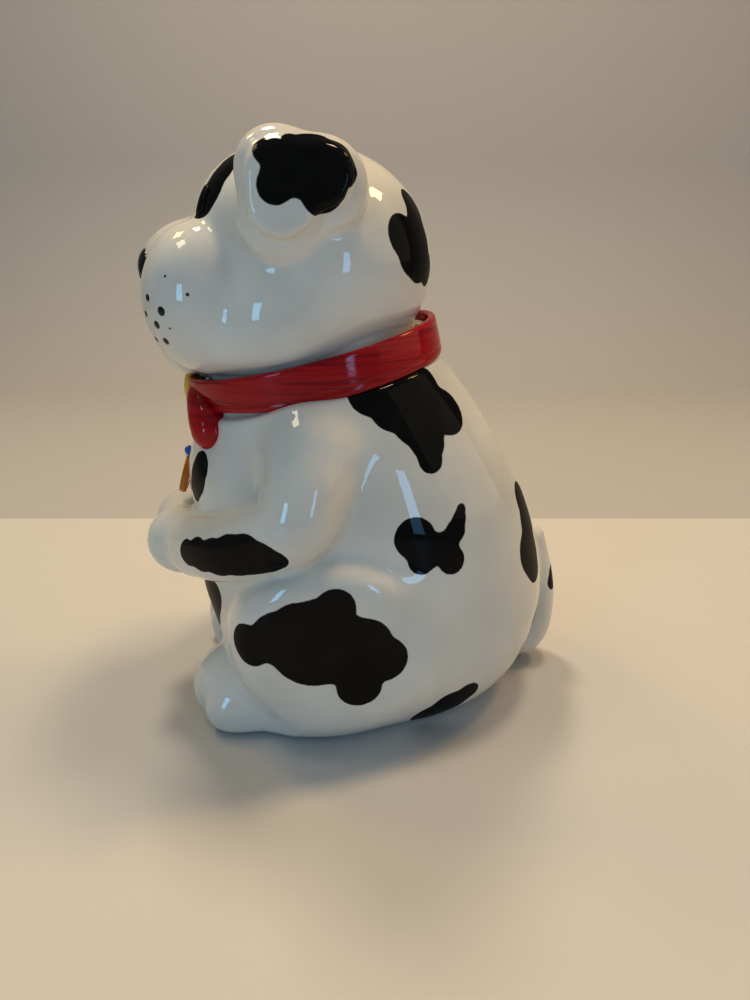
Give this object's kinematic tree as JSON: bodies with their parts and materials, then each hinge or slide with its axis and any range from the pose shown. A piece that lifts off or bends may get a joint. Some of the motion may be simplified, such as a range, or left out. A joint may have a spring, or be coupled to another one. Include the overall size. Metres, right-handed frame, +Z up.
{
  "type": "figural animal coin bank",
  "caption": "Glazed ceramic coin bank shaped as a sitting spotted dog, with a lift-off head, a coin slot in the back and a stoppered hole in the base.",
  "frame": {"origin": "middle of the bank's footprint box, on the surface it stands on", "axes": "+Z up; the dog faces -Y; its left side is +X"},
  "size_m": [0.1734, 0.2178, 0.2725],
  "materials": {
    "white_glaze": "gloss white glaze over earthenware, with painted black spots",
    "black_glaze": "gloss black glaze",
    "red_glaze": "gloss brushed red glaze",
    "yellow_glaze": "gloss yellow glaze",
    "blue_glaze": "gloss blue glaze",
    "orange_glaze": "gloss burnt orange glaze",
    "stopper_rubber": "soft matt rubber"
  },
  "bodies": {
    "bank_body": {"body_shell": "white_glaze", "arm_left": "white_glaze", "arm_right": "white_glaze", "foot_left": "white_glaze", "foot_right": "white_glaze", "tail": "white_glaze", "collar_band": "red_glaze", "bow_knot": "yellow_glaze", "bow_loop_left": "red_glaze", "bow_loop_right": "red_glaze", "tag_bead": "blue_glaze", "tag_loop": "white_glaze", "tag_plate": "orange_glaze"},
    "head": {"head_shell": "white_glaze", "ear_left": "white_glaze", "ear_right": "white_glaze", "nose": "black_glaze"},
    "stopper": {"base_stopper": "stopper_rubber"}
  },
  "joints": [
    {"name": "head_lift", "type": "slide", "parent": "bank_body", "child": "head", "axis": [0, -0.2334, 0.9724], "range_m": [0, 0.12]},
    {"name": "stopper_pull", "type": "slide", "parent": "bank_body", "child": "stopper", "axis": [0, 0, -1], "range_m": [0, 0.035]}
  ]
}
